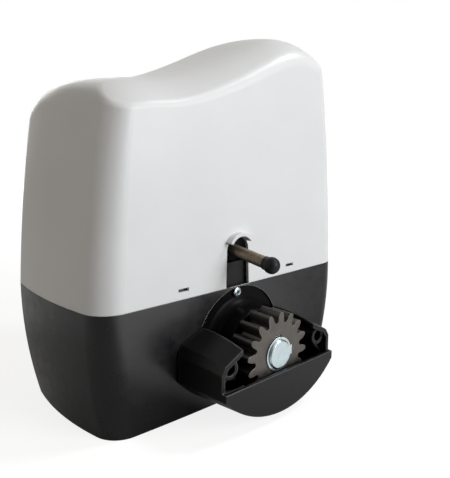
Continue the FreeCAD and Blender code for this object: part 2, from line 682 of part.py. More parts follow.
def make_pinion():
    """Rack pinion: involute flanks drawn as arcs, round tips and filleted roots."""
    module, teeth = d["pinion_module"], d["pinion_teeth"]
    pitch = module * teeth / 2
    root, tip_start = pitch - module * 1.25, pitch + module * 0.76
    flank_start = pitch - module * 0.66
    body = body_named("pinion", (0, 0, axis_height))
    blank = sketch_on(body, "pinion_blank", "XZ", -d["pinion_front"])
    circle(blank, 0, 0, root)
    disc = pad(body, "pinion_disc", blank, d["pinion_width"], reverse=True)
    tooth = sketch_on(body, "pinion_tooth", "XZ", -d["pinion_front"])
    half_angles = [(root - 0.4, 8.9), (root + 0.6, 7.9), (flank_start, 6.35), (tip_start, 3.13)]
    lower = [polar(radius, d["pinion_phase"] - angle) for radius, angle in half_angles]
    upper = [polar(radius, d["pinion_phase"] + angle) for radius, angle in half_angles[::-1]]
    flank = pitch * 0.342
    outline(tooth, [lower[0], lower[1], lower[2] + (flank,), lower[3] + (module * 0.56,),
                    upper[0] + (flank,), upper[1], upper[2], upper[3]])
    first = pad(body, "pinion_first_tooth", tooth, d["pinion_width"], reverse=True)
    axis = [item for item in body.Origin.OriginFeatures if item.Role == "Y_Axis"][0]
    pattern(body, "pinion_teeth_ring", [first], (axis, [""]), teeth)
    bore = sketch_on(body, "pinion_bore", "XZ", -d["pinion_front"] + 1)
    half_key = d["key_width"] / 2
    circle(bore, 0, 0, d["shaft_radius"])
    body.Tip = pocket(body, "pinion_bored", bore, d["pinion_width"] + 2, reverse=False)
    keyway = sketch_on(body, "pinion_keyway", "XZ", -d["pinion_front"] + 1)
    outline(keyway, [(-half_key, 0), (half_key, 0), (half_key, d["shaft_radius"] + d["key_stand"]),
                     (-half_key, d["shaft_radius"] + d["key_stand"])])
    body.Tip = pocket(body, "pinion_keyed", keyway, d["pinion_width"] + 2, reverse=False)
    body.Label = "pinion"
    return body


def make_output():
    """Output shaft with its key, spacer and the circlip-like retaining ring."""
    radius, end = d["shaft_radius"], d["shaft_end"]
    front, back = d["pinion_front"], d["pinion_front"] + d["pinion_width"]
    groove = front - 1.05
    wheel_front = d["drive_depth"] - d["wheel_width"] / 2
    shoulder = -d["seam_half_depth"] + 6
    shaft_back = d["drive_depth"] + d["wheel_width"] / 2 + 24
    shaft = turned("output_shaft_turned", "output_shaft_blank", [
        (0, end), (radius - 1.2, end), (radius, end + 1.2), (radius, groove - 0.1),
        (radius - 0.8, groove - 0.1), (radius - 0.8, groove + 1), (radius, groove + 1),
        (radius, shoulder + 0.2), (radius + 3.5, shoulder + 0.2), (radius + 3.5, wheel_front),
        (radius + 1, wheel_front), (radius + 1, shaft_back - 20), (radius - 2.5, shaft_back - 20),
        (radius - 2.5, shaft_back), (0, shaft_back)], place=(0, 0, axis_height))
    half_key = d["key_width"] / 2
    key_seat = box("key_seat", (-half_key, front + 1, axis_height + radius - 4),
                   (half_key, back - 1, axis_height + radius + 1))
    shaft = cut("output_shaft", shaft, key_seat)
    shaft.Label = "output_shaft"
    key = box("shaft_key", (-half_key, front + 1, axis_height + radius - 4),
              (half_key, back - 1, axis_height + radius + d["key_stand"] - 0.2))
    key.Label = "shaft_key"
    ring = body_named("retaining_ring", (0, 0, axis_height))
    sketch = sketch_on(ring, "ring_outline", "XZ", -front + 0.05)
    circle(sketch, 0, 0, d["washer_radius"])
    circle(sketch, 0, 0, radius - 0.7)
    pad(ring, "ring_disc", sketch, 1)
    lug = sketch_on(ring, "ring_lug", "XZ", -front + 0.05)
    outline(lug, [(radius + 0.4, -4), (radius + 3.6, -4), (radius + 3.6, 4), (radius + 0.4, 4)])
    pad(ring, "ring_lugs", lug, 1)
    ring.Label = "retaining_ring"
    spacer = turned("pinion_spacer", "pinion_spacer", [
        (radius, back + 0.05), (radius + 4, back + 0.05), (radius + 4, d["hub_front"] - 0.6),
        (radius + 0.02, d["hub_front"] - 0.6)], place=(0, 0, axis_height))
    return [shaft, key, ring, spacer]


# ---------------------------------------------------------- limit-switch lever
def make_lever():
    """Sprung lever: upright hub on its pin, close-wound spring, ball end."""
    place, pivot, height = d["slot_place"], d["lever_pivot"], d["lever_height"]
    hub = body_named("lever_hub", (place, pivot, height))
    sketch = sketch_on(hub, "hub_plan", "XY", -9)
    circle(sketch, 0, 0, 7.5)
    circle(sketch, 0, 0, 2.03)
    pad(hub, "hub_barrel", sketch, 18)
    socket = sketch_on(hub, "hub_socket", "XZ", 3.5)
    circle(socket, 0, 0, 6.4)
    pad(hub, "hub_nose", socket, 8.3)
    tail = sketch_on(hub, "hub_tail", "XZ", -4)
    outline(tail, [(-2.5, -4), (2.5, -4), (2.5, 4), (-2.5, 4)])
    hub.Tip = pad(hub, "hub_cam", tail, 14, reverse=True)
    hub.Label = "lever_hub"
    coil = body_named("limit_spring", (place, pivot, height))
    sketch = sketch_on(coil, "spring_profile", "XY")
    start = -12.6
    end = start - d["spring_length"]
    outline(sketch, [(0, end), (d["spring_radius"], end), (d["spring_radius"], start), (0, start)])
    revolve(coil, "spring_turns", sketch)
    coil.Label = "limit_spring"
    tip = body_named("lever_tip", (place, pivot, height))
    sketch = sketch_on(tip, "tip_profile", "XY")
    centre, ball = -d["tip_reach"], d["tip_radius"]
    skirt_end = end - 0.05
    skirt = ball * 0.87
    join = root_of(ball * ball - skirt * skirt)
    outline(sketch, [(0, centre - ball, ball), (ball, centre, ball), (skirt, centre + join),
                     (skirt - 0.4, skirt_end + 6), (d["spring_radius"] + 0.1, skirt_end + 6),
                     (d["spring_radius"] + 0.1, skirt_end), (0, skirt_end)])
    revolve(tip, "tip_ball", sketch)
    tip.Label = "lever_tip"
    for piece in (coil, tip):
        piece.Placement = FreeCAD.Placement(vector(0, 0, 0), FreeCAD.Rotation(vector(1, 0, 0), 1))
        bind(piece, "Placement.Rotation.Angle", d["lever_drop"])
    pin = cylinder("lever_pin", 2, (place, pivot, height - 18), 36)
    pin.Label = "lever_pin"
    return [hub, coil, tip, pin]


def make_tower():
    """Bracket of the limit switch: panel that fills the slot, cheeks and two shelves."""
    place, front = d["slot_place"], -d["seam_half_depth"] + 5
    half, top = d["slot_foot_half"] - 0.6, d["seam_height"] + 21
    foot = d["gearbox_top"]
    low, high = d["lever_height"] - 12.5, d["lever_height"] + 12.5
    shelf, back = d["lever_pivot"] - 6, -30
    pieces = [
        box("tower_panel", (place - half, front, d["seam_height"] - 0.8), (place + half, front + 3, top)),
        box("tower_foot", (place - half, front, foot + 0.2), (place + 9, back, foot + 3.2)),
        box("tower_cheek", (place - 24, shelf, foot + 0.2), (place - 21.5, back, high + 3)),
        box("tower_foot_wide", (place - 24, shelf, foot + 0.2), (place + 9, back, foot + 3.2)),
        box("tower_low", (place - 24, shelf, low - 2.5), (place + 9, back, low)),
        box("tower_high", (place - 24, shelf, high), (place + 9, back, high + 3)),
        box("tower_post", (place + 6, back - 3, foot + 0.2), (place + 9, back, high + 3)),
    ]
    tower = cut("limit_tower", fuse("tower_solid", pieces),
                cylinder("tower_pin_way", 2.02, (place, d["lever_pivot"], foot + 5), 60))
    tower.Label = "limit_tower"
    switches = []
    for number in range(2):
        level = low + 0.1 + 12.2 * number
        switches.append(box("micro_switch_%d" % number, (place - 21.4, -47, level),
                            (place - 7.4, -31, level + 11.5)))
    together = group("limit_switches", switches)
    together.Label = "limit_switches"
    return [tower, together]



# ----------------------------------------------------------------------- drive
def make_gearbox():
    """Cast gearbox: wheel chamber behind the flange, upright worm bore, bearing seats."""
    front, back = -d["seam_half_depth"] + 14, d["drive_depth"] + 40
    rim = -d["seam_half_depth"] + 6.2
    top, low = d["gearbox_top"], d["base_floor"] + 0.1
    body = body_named("gearbox_casting")
    sketch = sketch_on(body, "gearbox_outline", "XZ", -front)
    outline(sketch, [(-30, low), (76, low), (76, top), (-28, top), (-50, 86), (-50, 26)])
    pad(body, "gearbox_block", sketch, back - front, reverse=True)
    neck = cylinder("gearbox_neck", d["flange_radius"] - 1.5, (0, rim, axis_height), front - rim + 5, "Y")
    chamber_back = d["drive_depth"] + d["wheel_width"] / 2 + 5
    place, depth = d["drive_place"], d["drive_depth"]
    ways = [
        cylinder("gearbox_chamber", d["wheel_radius"] + 2, (0, front - 10, axis_height),
                 chamber_back - front + 10, "Y"),
        cylinder("gearbox_rear_seat", 23.55, (0, chamber_back - 1, axis_height), 15.4, "Y"),
        cylinder("gearbox_shaft_end", 11, (0, chamber_back, axis_height), 20, "Y"),
        cylinder("gearbox_worm_bore", 20, (place, depth, 22), top - 22 + 1),
        cylinder("gearbox_worm_seat", 17.55, (place, depth, 11), 12),
    ]
    for number in range(3):
        across, up = polar(d["flange_screw_circle"], d["flange_screw_phase"] + 120 * number)
        ways.append(cylinder("gearbox_thread_%d" % number, 2.05, (across, rim - 1, axis_height + up), 12,
                             "Y"))
    gearbox = cut("gearbox_housing", fuse("gearbox_solid", [body, neck]), fuse("gearbox_ways", ways))
    gearbox.Label = "gearbox_housing"
    radius = d["shaft_radius"] - 2.5
    rear = turned("bearing_rear", "bearing_rear", [
        (radius, chamber_back + 0.2), (23.5, chamber_back + 0.2), (23.5, chamber_back + 14.2),
        (radius, chamber_back + 14.2)], place=(0, 0, axis_height))
    return [gearbox, rear]


def make_worm_wheel():
    """Bronze worm wheel on the output shaft, with a clutch ring on its rear face."""
    front = d["drive_depth"] - d["wheel_width"] / 2
    body = body_named("worm_wheel", (0, 0, axis_height))
    blank = sketch_on(body, "wheel_blank", "XZ", -front)
    circle(blank, 0, 0, d["wheel_radius"] - 6.6)
    circle(blank, 0, 0, d["shaft_radius"] + 1)
    pad(body, "wheel_disc", blank, d["wheel_width"], reverse=True)
    tooth = sketch_on(body, "wheel_tooth", "XZ", -front)
    root, tip = d["wheel_radius"] - 7, d["wheel_radius"]
    corners = [polar(root, -4.6), polar(tip, -1.9), polar(tip, 1.9), polar(root, 4.6)]
    outline(tooth, corners)
    first = pad(body, "wheel_first_tooth", tooth, d["wheel_width"], reverse=True)
    axis = [item for item in body.Origin.OriginFeatures if item.Role == "Y_Axis"][0]
    pattern(body, "wheel_teeth", [first], (axis, [""]), 24)
    body.Label = "worm_wheel"
    return body


def make_motor():
    """Upright motor: worm shaft and rotor, stator, windings, two end shields, bearings."""
    place, depth, foot = d["drive_place"], d["drive_depth"], d["stator_foot"]
    spot, top = (place, depth, 0), foot + d["stator_height"]
    gearbox_top, stator = d["gearbox_top"], d["stator_radius"]
    shaft = turned("motor_shaft", "motor_shaft", [
        (0, 12), (7.5, 12), (7.5, 24), (11.2, 24), (11.2, 84), (7.5, 84), (7.5, foot - 10),
        (27, foot - 10 + 10.2), (27, top - 0.2), (7.5, top - 0.2), (7.5, top + 32), (0, top + 32)],
        axis_plane="XZ", place=spot)
    lower_bearing = turned("bearing_worm", "bearing_worm", [
        (7.5, 12.2), (17.5, 12.2), (17.5, 22.8), (7.5, 22.8)], axis_plane="XZ", place=spot)
    upper_bearing = turned("bearing_top", "bearing_top", [
        (7.5, top + 18), (17.5, top + 18), (17.5, top + 29), (7.5, top + 29)],
        axis_plane="XZ", place=spot)
    lower = turned("motor_flange", "motor_flange", [
        (12, gearbox_top + 0.1), (stator + 3, gearbox_top + 0.1), (stator + 3, gearbox_top + 6),
        (stator, gearbox_top + 8), (stator, foot), (stator - 3, foot), (stator - 3, gearbox_top + 8),
        (12, gearbox_top + 8)], axis_plane="XZ", place=spot)
    upper = turned("motor_end_shield", "motor_end_shield", [
        (stator - 3, top), (stator, top), (stator, top + 16), (stator - 6, top + 22),
        (22, top + 24), (21, top + 34), (0, top + 34), (0, top + 32.4), (8, top + 32.4),
        (8, top + 29.2), (17.55, top + 29.2), (17.55, top + 17.5), (stator - 8, top + 17.5),
        (stator - 3, top + 13)], axis_plane="XZ", place=spot)
    core = body_named("stator_core", spot)
    sketch = sketch_on(core, "stator_plan", "XY", foot + 0.05)
    circle(sketch, 0, 0, stator + 0.5)
    circle(sketch, 0, 0, 27.6)
    pad(core, "stator_stack", sketch, d["stator_height"] - 0.1)
    core.Label = "stator_core"
    rings = []
    for name, start in (("low", foot - 12), ("high", top + 0.1)):
        rings.append(turned("winding_" + name, "winding_" + name, [
            (30, start), (39, start), (42, start + 3), (42, start + 11.9), (30, start + 11.9)],
            axis_plane="XZ", place=spot))
    windings = group("stator_windings", rings)
    windings.Label = "stator_windings"
    return [shaft, lower_bearing, upper_bearing, lower, upper, core, windings]


# ------------------------------------------------------------------- electrics
def make_electrics():
    """Tray, transformer, capacitor, and the control board with what it carries."""
    level = d["tray_height"]
    tray = body_named("tray_plate")
    sketch = sketch_on(tray, "tray_plan", "XY", level)
    outline(sketch, [(-135, -48), (-118, -67), (-60, -67), (-60, 34), (24, 34), (24, 66), (-118, 67),
                     (-135, 48)])
    pad(tray, "tray_sheet", sketch, 3)
    posts = [cylinder("tray_post_%d" % number, 5, (across, depth, d["base_floor"]), level - 4)
             for number, (across, depth) in enumerate([(-70, -58), (-70, 52), (10, 48), (-126, 0)])]
    holder = [
        box("holder_back", (-126, d["board_depth"] + 3.5, level + 2),
            (-22, d["board_depth"] + 6.5, level + 118)),
        box("holder_foot", (-126, d["board_depth"] + 1, level + 2),
            (-22, d["board_depth"] + 12, level + 6)),
    ]
    stand = [cylinder("holder_post_%d" % number, 3, (across, d["board_depth"] + 1.7, level + up), 3, "Y")
             for number, (across, up) in enumerate([(-118, 18), (-30, 18), (-118, 108), (-30, 108)])]
    tray = fuse("electronics_tray", [tray] + posts + holder + stand)
    tray.Label = "electronics_tray"
    base = level + 3.1
    core = box("transformer_core", (-118, -36, base), (-68, -14, base + 42))
    core.Label = "transformer_core"
    coil = cut("transformer_coil", box("transformer_winding", (-106, -48, base + 7),
                                       (-80, -2, base + 35)),
               box("transformer_window", (-108, -36.05, base + 5), (-78, -13.95, base + 37)))
    coil.Label = "transformer_coil"
    can = turned("capacitor", "capacitor", [
        (0, base), (17, base), (18, base + 1), (18, base + 70), (16.5, base + 71.5), (14, base + 71.5),
        (14, base + 69.5), (0, base + 69.5)], axis_plane="XZ", place=(0, 50, 0))
    clip = cut("capacitor_clip", fuse("clip_solid", [
        cylinder("clip_ring", 19.6, (0, 50, base + 14), 12),
        box("clip_foot", (-22, 48, base), (-18, 52, base + 26))]),
        cylinder("clip_way", 18.05, (0, 50, base - 1), 30))
    clip.Label = "capacitor_clip"
    face = d["board_depth"]
    board = box("control_board", (-124, face, level + 12), (-24, face + 1.6, level + 114))
    board.Label = "control_board"
    relays = group("relays", [box("relay_%d" % number, (-52 - 24 * number, face - 16, level + 84),
                                  (-33 - 24 * number, face - 0.05, level + 103)) for number in range(3)])
    relays.Label = "relays"
    blocks = []
    for number in range(12):
        start = -120 + 7.6 * number + (4 if number > 5 else 0)
        block = box("terminal_%d" % number, (start, face - 11, level + 15),
                    (start + 7, face - 0.05, level + 31))
        way = box("terminal_way_%d" % number, (start + 1.2, face - 10, level + 14),
                  (start + 5.8, face - 3, level + 23))
        blocks.append(cut("terminal_block_%d" % number, block, way))
    terminals = group("terminal_blocks", blocks)
    terminals.Label = "terminal_blocks"
    fuse_link = cylinder("fuse_link", 2.5, (-114, face - 4, level + 62), 20, "X")
    fuse_link.Label = "fuse"
    return [tray, core, coil, can, clip, board, relays, terminals, fuse_link]


# --------------------------------------------------- manual release, small pieces
def make_release():
    """Pocket set into the rear wall; in it a lever on an upright pin, locked at its free end."""
    pivot, depth, half = d["release_pivot"], d["release_depth"], d["release_half"]
    reach, middle = d["release_reach"], d["release_height"]
    left, right, tall = d["pocket_left"], d["pocket_right"], d["pocket_half_tall"]
    block = box("pocket_block", (left, d["pocket_front"], middle - tall),
                (right, d["waist_half_depth"] - 1.5, middle + tall))
    recess = box("pocket_recess", (left + 4, d["pocket_front"] + 3, middle - 15),
                 (right - 4, d["waist_half_depth"] + 2, middle + 15))
    pin_way = cylinder("pocket_pin_way", 2.52, (pivot, depth, middle - 18.6), 37.2)
    pocket_box = cut("release_pocket", block, fuse("pocket_ways", [recess, pin_way]))
    pocket_box.Label = "release_pocket"
    lever = body_named("release_bar", (0, 0, middle))
    sketch = sketch_on(lever, "release_plan", "XY", -13)
    outline(sketch, [(pivot - reach, depth - half), (pivot, depth - half, half * 1.0001),
                     (pivot, depth + half), (pivot - reach + 4, depth + half, 4.0004),
                     (pivot - reach, depth + half - 4)])
    pad(lever, "release_block_pad", sketch, 26)
    ways = [cylinder("release_pin_bore", 2.55, (pivot, depth, middle - 20), 40),
            cylinder("release_lock_bore", d["lock_radius"] + 0.05, (d["lock_place"], depth - half - 1,
                                                                   middle), half * 2 + 2, "Y")]
    lever = cut("release_lever", lever, fuse("release_ways", ways))
    lever.Label = "release_lever"
    pin = cylinder("release_pin", 2.5, (pivot, depth, middle - 18.5), 37)
    pin.Label = "release_pin"
    barrel = cylinder("lock_barrel", d["lock_radius"], (d["lock_place"], depth - half, middle),
                      half * 2 - 0.4, "Y")
    key_slot = box("lock_key_slot", (d["lock_place"] - 0.9, depth + half - 7, middle - 4),
                   (d["lock_place"] + 0.9, depth + half + 1, middle + 4))
    lock = cut("release_lock", barrel, key_slot)
    lock.Label = "release_lock"
    return [pocket_box, lever, pin, lock]


def make_small_pieces():
    """Cable grommet in the floor, and the four levelling screws with their nuts."""
    grommet = turned("cable_grommet", "cable_grommet", [
        (9, 0.3), (13.9, 0.3), (13.9, 5.1), (17, 5.1), (16, 8.5), (9, 8.5)], axis_plane="XZ",
        place=(-95, 0, 0))
    screws = []
    for number in range(4):
        side = 1 if number in (0, 3) else -1
        depth = d["foot_depth"] / 2 * (1 if number < 2 else -1)
        screws.append(cylinder("levelling_screw_%d" % number, 4,
                               (d["levelling_place"] * side, depth, 0.2), 30))
    screws = group("levelling_screws", screws)
    screws.Label = "levelling_screws"
    nuts = []
    for number in range(4):
        side = 1 if number in (0, 3) else -1
        depth = d["foot_depth"] / 2 * (1 if number < 2 else -1)
        nut = body_named("levelling_nut_%d" % number, (d["levelling_place"] * side, depth, 14.1))
        sketch = sketch_on(nut, "nut_plan_%d" % number, "XY")
        outline(sketch, [polar(7.5, 60 * corner) for corner in range(6)])
        circle(sketch, 0, 0, 4.02)
        pad(nut, "nut_block_%d" % number, sketch, 6.5)
        nuts.append(nut)
    nuts = group("levelling_nuts", nuts)
    nuts.Label = "levelling_nuts"
    return [grommet, screws, nuts]


# ----------------------------------------------------------------------- build
nodes = [make_cover(), make_base(), make_guard(), make_guard_screws(), make_pinion()]
nodes += make_flange() + make_output() + make_lever() + make_tower()
nodes += make_gearbox() + [make_worm_wheel()] + make_motor() + make_electrics()
nodes += make_release() + make_small_pieces()
doc.recompute()

failed = [thing.Name for thing in doc.Objects if {"Invalid", "Error"} & set(thing.State)]
failed += [node.Label for node in nodes if node.Shape.isNull() or not node.Shape.isValid()]
if failed:
    raise RuntimeError("failed: " + ", ".join(failed))
for node in nodes:
    node.Shape.exportStep("parts/%s.step" % node.Label)
print(len(nodes), "nodes,", sum(len(node.Shape.Solids) for node in nodes), "solids")
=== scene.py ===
import json
import math

import bmesh
import bpy
from mathutils import Matrix, Vector


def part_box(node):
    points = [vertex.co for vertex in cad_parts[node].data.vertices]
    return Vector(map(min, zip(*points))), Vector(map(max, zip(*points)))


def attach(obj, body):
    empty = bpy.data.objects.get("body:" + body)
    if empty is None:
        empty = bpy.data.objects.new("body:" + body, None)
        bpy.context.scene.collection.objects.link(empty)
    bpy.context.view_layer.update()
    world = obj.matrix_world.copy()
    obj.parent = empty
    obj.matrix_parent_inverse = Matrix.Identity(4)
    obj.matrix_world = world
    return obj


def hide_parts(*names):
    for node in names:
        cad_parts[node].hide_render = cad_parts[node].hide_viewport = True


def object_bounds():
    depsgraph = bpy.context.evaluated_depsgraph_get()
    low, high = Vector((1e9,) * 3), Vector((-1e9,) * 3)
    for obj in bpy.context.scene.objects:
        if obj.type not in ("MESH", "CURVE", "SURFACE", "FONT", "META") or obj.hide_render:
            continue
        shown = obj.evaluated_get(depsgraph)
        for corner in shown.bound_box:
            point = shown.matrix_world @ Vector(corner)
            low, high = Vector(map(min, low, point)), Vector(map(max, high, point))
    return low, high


# Looks of the sliding gate motor. Everything is in metres, in the frame of the CAD:
# +X right, +Y away, +Z up, pinion towards -Y, underside on Z = 0.
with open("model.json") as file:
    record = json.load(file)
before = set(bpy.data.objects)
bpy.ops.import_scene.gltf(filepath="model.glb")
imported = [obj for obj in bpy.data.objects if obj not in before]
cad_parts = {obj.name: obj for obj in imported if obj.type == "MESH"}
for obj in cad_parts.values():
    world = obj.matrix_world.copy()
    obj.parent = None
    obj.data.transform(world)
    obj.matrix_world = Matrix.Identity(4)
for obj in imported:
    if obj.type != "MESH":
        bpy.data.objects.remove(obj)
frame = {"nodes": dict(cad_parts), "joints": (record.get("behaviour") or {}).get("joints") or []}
cad_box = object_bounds()

MM = 0.001
nodes = frame["nodes"]
joints = {joint["name"]: joint for joint in frame["joints"]}


# ------------------------------------------------------------------- materials
class Shader:
    """A node material under construction: one Principled shader and its helpers."""

    # At scale 1 a wave texture has one band in each math.tau / WAVE_UNIT.
    WAVE_UNIT = 20.0
    # Noise at which clouds start, and at which they are full on the pale and the dark side.
    CLOUD_START, CLOUD_PALE, CLOUD_DARK = 0.5, 0.68, 0.32
    # Noise between which the gloss changes, and the lowest roughness it may reach.
    GLOSS_LOW, GLOSS_HIGH, SMOOTHEST = 0.3, 0.7, 0.02
    # Cosine between true and rounded normal at which the painted highlight on an edge starts, and
    # is full.
    EDGE_START, EDGE_FULL = 0.985, 0.8

    def __init__(self, name, colour, roughness, metallic=0.0):
        self.material = bpy.data.materials.new(name)
        self.material.use_nodes = True
        self.nodes = self.material.node_tree.nodes
        self.links = self.material.node_tree.links
        self.bsdf = self.nodes["Principled BSDF"]
        self.bsdf.inputs["Metallic"].default_value = metallic
        self.bsdf.inputs["Roughness"].default_value = roughness
        self.colour = colour
        self.roughness = roughness
        self.coords = self.nodes.new("ShaderNodeTexCoord").outputs["Object"]
        self.normal = None
        self.tint = None
        self.edge = None
        self.material.diffuse_color = (*colour, 1.0)
        self.bsdf.inputs["Base Color"].default_value = (*colour, 1.0)

    def add(self, kind, **values):
        node = self.nodes.new(kind)
        for name, value in values.items():
            setattr(node, name, value)
        return node

    def stretched(self, scale):
        """Object coordinates, scaled to draw a grain out along an axis."""
        mapping = self.add("ShaderNodeMapping")
        mapping.inputs["Scale"].default_value = scale
        self.links.new(self.coords, mapping.inputs["Vector"])
        return mapping.outputs["Vector"]

    def noise(self, size, detail=3.0, stretch=None):
        """Noise whose features are about one size across, in millimetres."""
        node = self.add("ShaderNodeTexNoise")
        node.inputs["Scale"].default_value = 1.0 / (size * MM)
        node.inputs["Detail"].default_value = detail
        self.links.new(self.stretched(stretch) if stretch else self.coords, node.inputs["Vector"])
        return node.outputs["Fac"]

    def bands(self, pitch, axis, waver):
        """Bands of one pitch, in millimetres, across an axis, that waver a little."""
        node = self.add("ShaderNodeTexWave", bands_direction=axis)
        node.inputs["Scale"].default_value = math.tau / (self.WAVE_UNIT * pitch * MM)
        node.inputs["Distortion"].default_value = waver
        self.links.new(self.coords, node.inputs["Vector"])
        return node.outputs["Fac"]

    def ramp(self, factor, low, high, out_low=0.0, out_high=1.0):
        """Stretch a factor from one range to another, held at the ends."""
        node = self.add("ShaderNodeMapRange")
        node.inputs["From Min"].default_value = low
        node.inputs["From Max"].default_value = high
        node.inputs["To Min"].default_value = out_low
        node.inputs["To Max"].default_value = out_high
        self.links.new(factor, node.inputs["Value"])
        return node.outputs["Result"]

    def tinted(self, factor, colour, amount=1.0):
        """Mix the colour so far towards another one by a factor."""
        node = self.add("ShaderNodeMix", data_type="RGBA")
        if self.tint is None:
            node.inputs["A"].default_value = (*self.colour, 1.0)
        else:
            self.links.new(self.tint, node.inputs["A"])
        node.inputs["B"].default_value = (*colour, 1.0)
        self.links.new(self.ramp(factor, 0.0, 1.0, 0.0, amount), node.inputs["Factor"])
        self.tint = node.outputs["Result"]
        self.links.new(self.tint, self.bsdf.inputs["Base Color"])

    def mottled(self, size, spread, detail=3.0, stretch=None):
        """Cloudy change of the colour by a share of itself, both ways."""
        lighter = tuple(min(1.0, channel * (1.0 + spread)) for channel in self.colour)
        darker = tuple(channel * (1.0 - spread) for channel in self.colour)
        factor = self.noise(size, detail, stretch)
        self.tinted(self.ramp(factor, self.CLOUD_START, self.CLOUD_PALE), lighter)
        self.tinted(self.ramp(factor, self.CLOUD_START, self.CLOUD_DARK), darker)

    def uneven_gloss(self, size, spread, stretch=None):
        """Vary the roughness in patches, by so much both ways."""
        factor = self.noise(size, detail=4.0, stretch=stretch)
        low = max(self.SMOOTHEST, self.roughness - spread)
        high = self.roughness + spread
        patches = self.ramp(factor, self.GLOSS_LOW, self.GLOSS_HIGH, low, high)
        self.links.new(patches, self.bsdf.inputs["Roughness"])

    def bump(self, factor, height):
        """Raise the surface by a factor, to a height in millimetres."""
        node = self.add("ShaderNodeBump")
        node.inputs["Strength"].default_value = 1.0
        node.inputs["Distance"].default_value = height * MM
        self.links.new(factor, node.inputs["Height"])
        if self.normal is not None:
            self.links.new(self.normal, node.inputs["Normal"])
        self.normal = node.outputs["Normal"]
        self.links.new(self.normal, self.bsdf.inputs["Normal"])

    def from_axis(self, centre):
        """Distance from a line along Y through a point, in metres."""
        node = self.add("ShaderNodeVectorMath", operation="DISTANCE")
        self.links.new(self.stretched((1.0, 0.0, 1.0)), node.inputs[0])
        node.inputs[1].default_value = (centre.x, 0.0, centre.z)
        return node.outputs["Value"]

    def times(self, first, second):
        """Product of two factors."""
        node = self.add("ShaderNodeMath", operation="MULTIPLY")
        self.links.new(first, node.inputs[0])
        self.links.new(second, node.inputs[1])
        return node.outputs["Value"]

    def soft_edges(self, radius, lit=None, amount=0.5):
        """Round the edges in the shading, and paint a highlight on them where a lit colour is
        given.
        """
        bevel = self.add("ShaderNodeBevel", samples=6)
        bevel.inputs["Radius"].default_value = radius * MM
        self.normal = bevel.outputs["Normal"]
        self.links.new(self.normal, self.bsdf.inputs["Normal"])
        if lit is None:
            return
        across = self.add("ShaderNodeVectorMath", operation="DOT_PRODUCT")
        self.links.new(bevel.outputs["Normal"], across.inputs[0])
        self.links.new(self.add("ShaderNodeNewGeometry").outputs["Normal"], across.inputs[1])
        self.edge = self.ramp(across.outputs["Value"], self.EDGE_START, self.EDGE_FULL)
        # Painted highlight: the edges are tinted towards the lit colour.
        self.tinted(self.edge, lit, amount)


def moulded(name, colour, roughness, grain=0.35, depth=0.02, spread=0.05, edge=0.5,
            lit=None, amount=0.4, shine=0.3):
    """Moulded plastic: fine grain in the surface, faint clouds in colour and gloss."""
    shader = Shader(name, colour, roughness)
    shader.bsdf.inputs["Specular IOR Level"].default_value = shine
    shader.mottled(size=28.0, spread=spread, detail=5.0)
    shader.soft_edges(edge, lit, amount)
    shader.uneven_gloss(size=9.0, spread=0.05)
    shader.bump(shader.noise(grain, detail=2.0), depth)
    return shader


def cover_white():
    """Pearly pale satin: hardly any grain, a soft long-wave change of tone."""
    shader = Shader("cover_white_satin", colour=(0.735, 0.742, 0.752), roughness=0.36)
    shader.mottled(size=60.0, spread=0.018, detail=4.0)
    pearls = shader.ramp(shader.noise(size=0.5, detail=1.0), low=0.62, high=0.8)
    shader.tinted(pearls, colour=(0.60, 0.60, 0.61), amount=0.25)
    shader.soft_edges(radius=1.0)
    shader.uneven_gloss(size=16.0, spread=0.03)
    shader.bump(shader.noise(size=0.7, detail=2.0), height=0.006)
    shader.bsdf.inputs["Specular IOR Level"].default_value = 0.26
    shader.bsdf.inputs["Coat Weight"].default_value = 0.12
    shader.bsdf.inputs["Coat Roughness"].default_value = 0.3
    return shader.material


def base_black():
    """Black spark-eroded plastic with a fine sparkle, a painted highlight on its edges, and a
    painted highlight on the rim of the flange's seat.
    """
    shader = moulded("base_black_grain", colour=(0.0032, 0.0032, 0.0040), roughness=0.31,
                     grain=0.6, depth=0.012, spread=0.12, edge=0.9,
                     lit=(0.05, 0.05, 0.055), amount=0.5, shine=0.6)
    sparkle = shader.ramp(shader.noise(size=0.6, detail=2.0), low=0.60, high=0.72)
    shader.tinted(sparkle, colour=(0.026, 0.028, 0.036), amount=0.7)
    # Painted highlight: the edge of the flange's seat is tinted pale in a thin ring, where it
    # would catch the light.
    low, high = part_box("bearing_flange")
    seat = (high.x - low.x) / 2
    start, end, fade = seat - 1.0 * MM, seat + 2.0 * MM, seat + 3.0 * MM
    reach = shader.from_axis((low + high) / 2)
    seat_highlight_band = shader.times(shader.ramp(reach, start, seat), shader.ramp(reach, fade, end))
    shader.tinted(shader.times(shader.edge, seat_highlight_band), colour=(0.80, 0.82, 0.86))
    return shader.material


def guard_black():
    """Black satin plastic, with a painted highlight along its edges."""
    shader = moulded("guard_black_satin", colour=(0.003, 0.003, 0.0034), roughness=0.38,
                     grain=0.5, depth=0.014, spread=0.10, edge=2.0,
                     lit=(0.15, 0.15, 0.165), amount=0.6, shine=0.2)
    sparkle = shader.ramp(shader.noise(size=0.4, detail=2.0), low=0.58, high=0.74)
    shader.tinted(sparkle, colour=(0.020, 0.020, 0.023), amount=0.6)
    return shader.material


def flange_black():
    """Smooth, deep black plastic, with a faint painted highlight on its edges."""
    return moulded("flange_black_smooth", colour=(0.003, 0.003, 0.0036), roughness=0.36,
                   grain=0.8, depth=0.008, spread=0.08, edge=0.7,
                   lit=(0.02, 0.02, 0.022), amount=0.5, shine=0.05).material


def tower_black():
    """Plain black plastic of the small mouldings."""
    return moulded("tower_black", colour=(0.012, 0.012, 0.013), roughness=0.42,
                   grain=0.6, depth=0.012, shine=0.15).material


def ball_rubber():
    """Black rubber with a dull skin."""
    return moulded("ball_rubber", colour=(0.010, 0.010, 0.0105), roughness=0.44,
                   grain=0.5, depth=0.02, spread=0.15, shine=0.16).material


